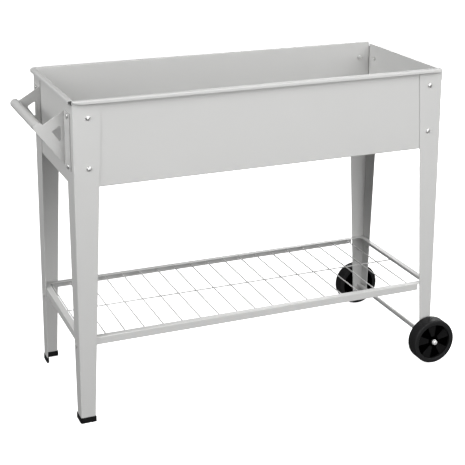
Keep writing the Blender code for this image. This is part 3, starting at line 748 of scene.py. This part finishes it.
def wheel_mesh(name, wheel, radius, half):
    """Whole wheel: grooved tread, recessed disc with raised paddles, hub and bore."""
    sides = 240
    groove_every = 5
    section = wheel_section(wheel, radius, half)
    bm = bmesh.new()
    rings = []
    for row, (reach, height, kind) in enumerate(section):
        points = []
        for index in range(sides):
            angle = 2 * math.pi * index / sides
            at, up = reach, height
            if kind == "paddle":
                up += wheel.paddle_height * paddle_share(wheel, angle)
            if kind == "tread" and (index + abs(row - len(section) // 2)) % groove_every == 0:
                at -= wheel.tread_depth
            points.append((at * math.cos(angle), at * math.sin(angle), up))
        rings.append(add_ring(bm, points))
    for lower, upper in zip(rings, rings[1:] + rings[:1]):
        bridge(bm, lower, upper)
    mesh = finished_mesh(name, bm, math.radians(30))
    # The recess floor and the hub take the third, near-black material (painted shade); the raised paddles
    # take the lighter paddle plastic.
    floor = half - wheel.recess + 0.3 * wheel.paddle_height
    for polygon in mesh.polygons:
        away = math.hypot(polygon.center.x, polygon.center.y)
        if away < wheel.face_radius:
            raised = abs(polygon.center.z) > floor and away > wheel.hub_radius + 0.002
            polygon.material_index = 1 if raised else 2
    return mesh


# ---------------------------------------------------------------- operators
class PLANTER_OT_sheet_metal(bpy.types.Operator):
    """Gives the box, legs, brackets and shelf rails rounded edges and a powder coat"""
    bl_idname = "planter.sheet_metal"
    bl_label = "Sheet metal"

    def execute(self, context):
        edge = context.scene.planter_paint.edge
        for node, name in SHEET_PIECES.items():
            rounded_piece(node, name, edge, sheet_paint())
        return {"FINISHED"}


class PLANTER_OT_feet(bpy.types.Operator):
    """Makes the moulded caps under the two footed legs"""
    bl_idname = "planter.feet"
    bl_label = "Foot caps"

    def execute(self, context):
        for node, name in FOOT_PIECES.items():
            rounded_piece(node, name, FOOT_EDGE, foot_plastic())
        return {"FINISHED"}


class PLANTER_OT_handle(bpy.types.Operator):
    """Makes the round tube of the pull handle"""
    bl_idname = "planter.handle"
    bl_label = "Handle tube"

    def execute(self, context):
        low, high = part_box("handle_tube")
        radius = (high.z - low.z) / 2
        half = (high.y - low.y) / 2
        wall = 0.0015
        soft = 0.0004
        profile = [(radius - wall, -half + soft), (radius - wall + soft, -half), (radius - soft, -half)]
        profile += [(radius, -half + soft), (radius, half - soft)]
        profile += [(radius - soft, half), (radius - wall + soft, half), (radius - wall, half - soft)]
        bm = bmesh.new()
        add_turned(bm, profile, 72, closed=True)
        matrix = Matrix.Translation((low + high) / 2) @ outward_turn(math.pi / 2)
        add_piece("handle_grip_tube", finished_mesh("handle_grip_tube", bm, math.radians(30)),
                  [sheet_paint()], "planter", ["handle_tube"], matrix)
        return {"FINISHED"}


class PLANTER_OT_shelf_wires(bpy.types.Operator):
    """Makes the welded wires of the shelf"""
    bl_idname = "planter.shelf_wires"
    bl_label = "Shelf wires"

    def execute(self, context):
        shelf = context.scene.planter_shelf
        low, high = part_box("shelf_wire_mat")
        radius = shelf.wire_diameter / 2
        top = high.z - radius
        lower = top - shelf.wire_diameter + shelf.weld_overlap
        middle = (low.x + high.x) / 2
        bm = bmesh.new()
        self.add_wire(bm, (low.x, 0.0, lower), (high.x, 0.0, lower), radius)
        for index in range(shelf.wire_count):
            x = middle + shelf.wire_offset + (index - (shelf.wire_count - 1) / 2) * shelf.wire_pitch
            self.add_wire(bm, (x, low.y, top), (x, high.y, top), radius)
            self.add_weld(bm, (x, 0.0, (top + lower) / 2), radius)
        add_piece("welded_shelf_wires", finished_mesh("welded_shelf_wires", bm, math.radians(60)),
                  [sheet_paint()], "planter", ["shelf_wire_mat"])
        return {"FINISHED"}

    @staticmethod
    def add_wire(bm, start, end, radius):
        """Round wire with slightly rounded ends."""
        start, end = Vector(start), Vector(end)
        length = (end - start).length
        soft = radius * 0.25
        part = bmesh.new()
        add_turned(part, [(radius - soft, 0.0), (radius, soft), (radius, length - soft),
                          (radius - soft, length)], 16)
        turn = (end - start).to_track_quat("Z", "Y").to_matrix().to_4x4()
        part.transform(Matrix.Translation(start) @ turn)
        mesh = bpy.data.meshes.new("wire")
        part.to_mesh(mesh)
        part.free()
        bm.from_mesh(mesh)
        bpy.data.meshes.remove(mesh)

    @staticmethod
    def add_weld(bm, spot, radius):
        """Flattened bead where two wires are fused."""
        matrix = Matrix.Translation(spot) @ Matrix.Diagonal((1.25, 1.25, 0.7, 1.0))
        bmesh.ops.create_icosphere(bm, subdivisions=2, radius=radius, matrix=matrix)


class PLANTER_OT_screws(bpy.types.Operator):
    """Makes the cross-recess screws of the box and the shelf"""
    bl_idname = "planter.screws"
    bl_label = "Screws"

    def execute(self, context):
        low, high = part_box("bolt_front_left_side_upper")
        head = head_mesh((high.z - low.z) / 2, context.scene.planter_fasteners)
        for corner in CORNERS:
            for face in ("side", "end"):
                for level in LEVELS:
                    add_screw(f"screw_{corner}_{face}_{level}", f"bolt_{corner}_{face}_{level}",
                              fastener_side(corner, face), head, fastener_zinc())
            add_screw(f"shelf_screw_{corner}", f"shelf_bolt_{corner}", fastener_side(corner, "end"),
                      head, sheet_paint())
        bpy.data.meshes.remove(head)
        return {"FINISHED"}


class PLANTER_OT_nuts(bpy.types.Operator):
    """Makes the hexagon nuts inside the box"""
    bl_idname = "planter.nuts"
    bl_label = "Nuts"

    def execute(self, context):
        fastener = context.scene.planter_fasteners
        bore = fastener.thread_diameter / 2 + 0.0001
        for corner in CORNERS:
            for face in ("side", "end"):
                angle = fastener_side(corner, face)
                for level in LEVELS:
                    node = f"nut_{corner}_{face}_{level}"
                    inner, outer, middle, direction = span_along(node, angle)
                    low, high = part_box(node)
                    across = min(high.z - low.z, abs((high - low).dot(direction.cross(Vector((0, 0, 1))))))
                    name = f"hex_nut_{corner}_{face}_{level}"
                    mesh = nut_mesh(name, across, outer - inner, bore)
                    spin = Matrix.Rotation(math.radians(sum(map(ord, name)) % 60), 4, "Z")
                    matrix = Matrix.Translation(middle) @ outward_turn(angle) @ spin
                    add_piece(name, mesh, [fastener_zinc()], "planter", [node], matrix)
        return {"FINISHED"}


class PLANTER_OT_wheels(bpy.types.Operator):
    """Makes the two moulded wheels"""
    bl_idname = "planter.wheels"
    bl_label = "Wheels"

    def execute(self, context):
        wheel = context.scene.planter_wheels
        surfaces = [tyre_plastic(wheel), paddle_plastic(wheel), recess_plastic(wheel)]
        for place, angle in (("front", -math.pi / 2), ("back", math.pi / 2)):
            low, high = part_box(f"wheel_{place}")
            mesh = wheel_mesh(f"{place}_wheel", wheel, (high.z - low.z) / 2, (high.y - low.y) / 2)
            matrix = Matrix.Translation((low + high) / 2) @ outward_turn(angle)
            add_piece(f"{place}_wheel", mesh, surfaces, f"wheel_{place}_body",
                      [f"wheel_{place}"], matrix)
        return {"FINISHED"}


class PLANTER_OT_axle(bpy.types.Operator):
    """Makes the axle and its two push-on caps"""
    bl_idname = "planter.axle"
    bl_label = "Axle"

    def execute(self, context):
        self.make_rod()
        for place, angle in (("front", -math.pi / 2), ("back", math.pi / 2)):
            self.make_cap(place, angle)
        return {"FINISHED"}

    @staticmethod
    def make_rod():
        low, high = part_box("axle")
        radius = (high.z - low.z) / 2
        half = (high.y - low.y) / 2
        soft = 0.0005
        bm = bmesh.new()
        add_turned(bm, [(radius - soft, -half), (radius, -half + soft), (radius, half - soft),
                        (radius - soft, half)], 48)
        matrix = Matrix.Translation((low + high) / 2) @ outward_turn(math.pi / 2)
        add_piece("axle_rod", finished_mesh("axle_rod", bm, math.radians(30)), [axle_zinc()],
                  "planter", ["axle"], matrix)

    @staticmethod
    def make_cap(place, angle):
        """Domed cap with a rolled rim."""
        node = f"axle_cap_{place}"
        inner, outer, middle, direction = span_along(node, angle)
        low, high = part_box(node)
        radius = (high.z - low.z) / 2
        height = outer - inner
        rim = 0.0006
        dome = radius - 0.0007
        crown = 0.0024
        profile = [(radius - 0.0012, 0.0), (radius - 0.0002, 0.0001), (radius, rim / 2),
                   (radius - 0.0002, rim), (dome, rim + 0.0003), (dome, height - crown)]
        profile += dome_points(dome, height - crown, crown, 8)
        profile.append((dome * 0.06, height))
        bm = bmesh.new()
        add_turned(bm, profile, 48)
        origin = middle + direction * (inner - middle.dot(direction))
        matrix = Matrix.Translation(origin) @ outward_turn(angle)
        add_piece(f"{place}_axle_cap", finished_mesh(f"{place}_axle_cap", bm, math.radians(40)),
                  [cap_zinc()], "planter", [node], matrix)


class PLANTER_OT_stage(bpy.types.Operator):
    """Makes the pale floor, the soft lights and the camera"""
    bl_idname = "planter.stage"
    bl_label = "Stage"

    def execute(self, context):
        self.make_floor(context.scene)
        self.make_sky(context.scene)
        self.make_lights(context.scene)
        self.make_camera(context.scene)
        context.scene.view_settings.view_transform = "Standard"
        return {"FINISHED"}

    @staticmethod
    def make_floor(scene):
        """One flat sheet that reaches far out all round the planter."""
        reach = scene.planter_stage.floor_reach
        bm = bmesh.new()
        bm.faces.new(add_ring(bm, [(-reach, -reach, 0.0), (reach, -reach, 0.0),
                                   (reach, reach, 0.0), (-reach, reach, 0.0)]))
        mesh = bpy.data.meshes.new("studio_floor")
        bm.to_mesh(mesh)
        bm.free()
        mesh.materials.append(studio_floor())
        floor = bpy.data.objects.new("studio_floor", mesh)
        floor.visible_diffuse = False
        floor.visible_glossy = False
        scene.collection.objects.link(floor)

    @staticmethod
    def make_sky(scene):
        """Soft light all round, weaker from below the horizon."""
        stage = scene.planter_stage
        world = bpy.data.worlds.new("studio_sky")
        world.use_nodes = True
        shader = Shader(world.node_tree)
        direction = shader.node("ShaderNodeTexCoord", out="Generated")
        height = shader.node("ShaderNodeSeparateXYZ", None, {0: direction}, "Z")
        rise = shader.node("ShaderNodeMapRange", None, {"Value": height, "From Min": -0.25, "From Max": 0.35})
        light = stage.ground + (stage.sky - stage.ground) * rise
        background = shader.node("ShaderNodeBackground", None, {"Strength": light})
        shader.node("ShaderNodeOutputWorld", None, {"Surface": background})
        scene.world = world

    def make_lights(self, scene):
        for name, (spot, size) in LAMPS.items():
            power = getattr(scene.planter_stage, f"{name}_power")
            self.add_lamp(scene, f"{name}_light", Vector(spot), size, power)

    @staticmethod
    def add_lamp(scene, name, spot, size, power):
        """Round soft light that faces the middle of the planter."""
        data = bpy.data.lights.new(name, "AREA")
        data.shape = "DISK"
        data.size = size
        data.energy = power
        lamp = bpy.data.objects.new(name, data)
        lamp.location = spot
        lamp.rotation_euler = (Vector((0.0, 0.0, 0.5)) - spot).to_track_quat("-Z", "Y").to_euler()
        scene.collection.objects.link(lamp)

    @staticmethod
    def make_camera(scene):
        settings = scene.planter_camera
        data = bpy.data.cameras.new("camera")
        data.sensor_width = 36.0
        data.lens = settings.lens
        data.shift_x, data.shift_y = settings.shift
        data.clip_start = 0.05
        data.clip_end = 60.0
        across, up = settings.azimuth, settings.elevation
        back = Vector((math.sin(across) * math.cos(up), -math.cos(across) * math.cos(up), math.sin(up)))
        right = Vector((math.cos(across), math.sin(across), 0.0))
        above = back.cross(right)
        turn = Matrix((right, above, back)).transposed().to_4x4() @ Matrix.Rotation(settings.roll, 4, "Z")
        camera = bpy.data.objects.new("camera", data)
        camera.matrix_world = Matrix.Translation(settings.position) @ turn
        scene.collection.objects.link(camera)
        scene.camera = camera


class PLANTER_PT_pieces(bpy.types.Panel):
    """Lists the operators that make the planter"""
    bl_idname = "PLANTER_PT_pieces"
    bl_label = "Raised planter"
    bl_space_type = "VIEW_3D"
    bl_region_type = "UI"
    bl_category = "Planter"

    def draw(self, context):
        for operator in OPERATORS:
            self.layout.operator(operator.bl_idname)
        for name in SETTINGS:
            box = self.layout.box()
            group = getattr(context.scene, name)
            for key in group.bl_rna.properties.keys():
                if key not in ("rna_type", "name"):
                    box.prop(group, key)


SETTINGS = {
    "planter_paint": PaintSettings,
    "planter_zinc": ZincSettings,
    "planter_fasteners": FastenerSettings,
    "planter_shelf": ShelfSettings,
    "planter_wheels": WheelSettings,
    "planter_stage": StageSettings,
    "planter_camera": CameraSettings,
}
OPERATORS = (
    PLANTER_OT_sheet_metal,
    PLANTER_OT_feet,
    PLANTER_OT_handle,
    PLANTER_OT_shelf_wires,
    PLANTER_OT_screws,
    PLANTER_OT_nuts,
    PLANTER_OT_wheels,
    PLANTER_OT_axle,
    PLANTER_OT_stage,
)


def register():
    for group in SETTINGS.values():
        bpy.utils.register_class(group)
    for operator in OPERATORS:
        bpy.utils.register_class(operator)
    bpy.utils.register_class(PLANTER_PT_pieces)
    for name, group in SETTINGS.items():
        setattr(bpy.types.Scene, name, bpy.props.PointerProperty(type=group))


def unregister():
    for name in SETTINGS:
        delattr(bpy.types.Scene, name)
    bpy.utils.unregister_class(PLANTER_PT_pieces)
    for operator in reversed(OPERATORS):
        bpy.utils.unregister_class(operator)
    for group in reversed(SETTINGS.values()):
        bpy.utils.unregister_class(group)


def main():
    register()
    bpy.ops.planter.sheet_metal()
    bpy.ops.planter.feet()
    bpy.ops.planter.handle()
    bpy.ops.planter.shelf_wires()
    bpy.ops.planter.screws()
    bpy.ops.planter.nuts()
    bpy.ops.planter.wheels()
    bpy.ops.planter.axle()
    bpy.ops.planter.stage()


if __name__ == "__main__":
    main()
